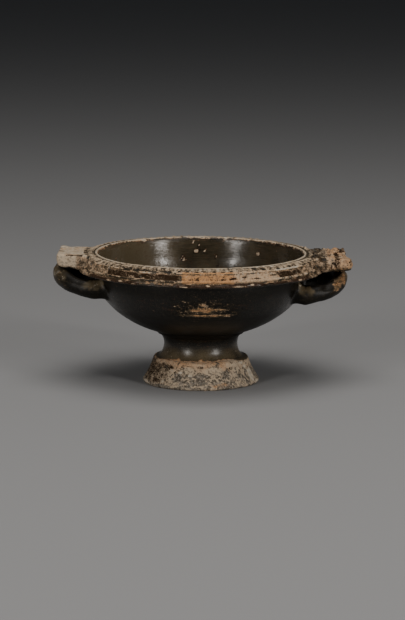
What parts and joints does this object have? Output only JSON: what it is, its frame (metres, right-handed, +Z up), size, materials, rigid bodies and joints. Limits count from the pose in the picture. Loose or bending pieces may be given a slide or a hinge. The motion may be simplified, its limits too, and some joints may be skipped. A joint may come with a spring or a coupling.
{
  "type": "krateriskos",
  "caption": "Small footed pottery bowl with a moulded egg-band rim, flat rim plates and loop handles, worn black gloss over clay.",
  "frame": {"origin": "on the ground under the middle of the bounding box; the vessel's turning axis stands 1.1 mm towards -X from it", "axes": "+Z up along the turning axis, +X across both handles towards the handle that is on the right in the picture, -Y towards the camera"},
  "size_m": [0.1992, 0.1634, 0.0891],
  "materials": {
    "black_gloss_pottery": "satin black slip worn through to pinkish clay, with pale deposits"
  },
  "bodies": {
    "root": {"krateriskos": "black_gloss_pottery"}
  },
  "joints": []
}
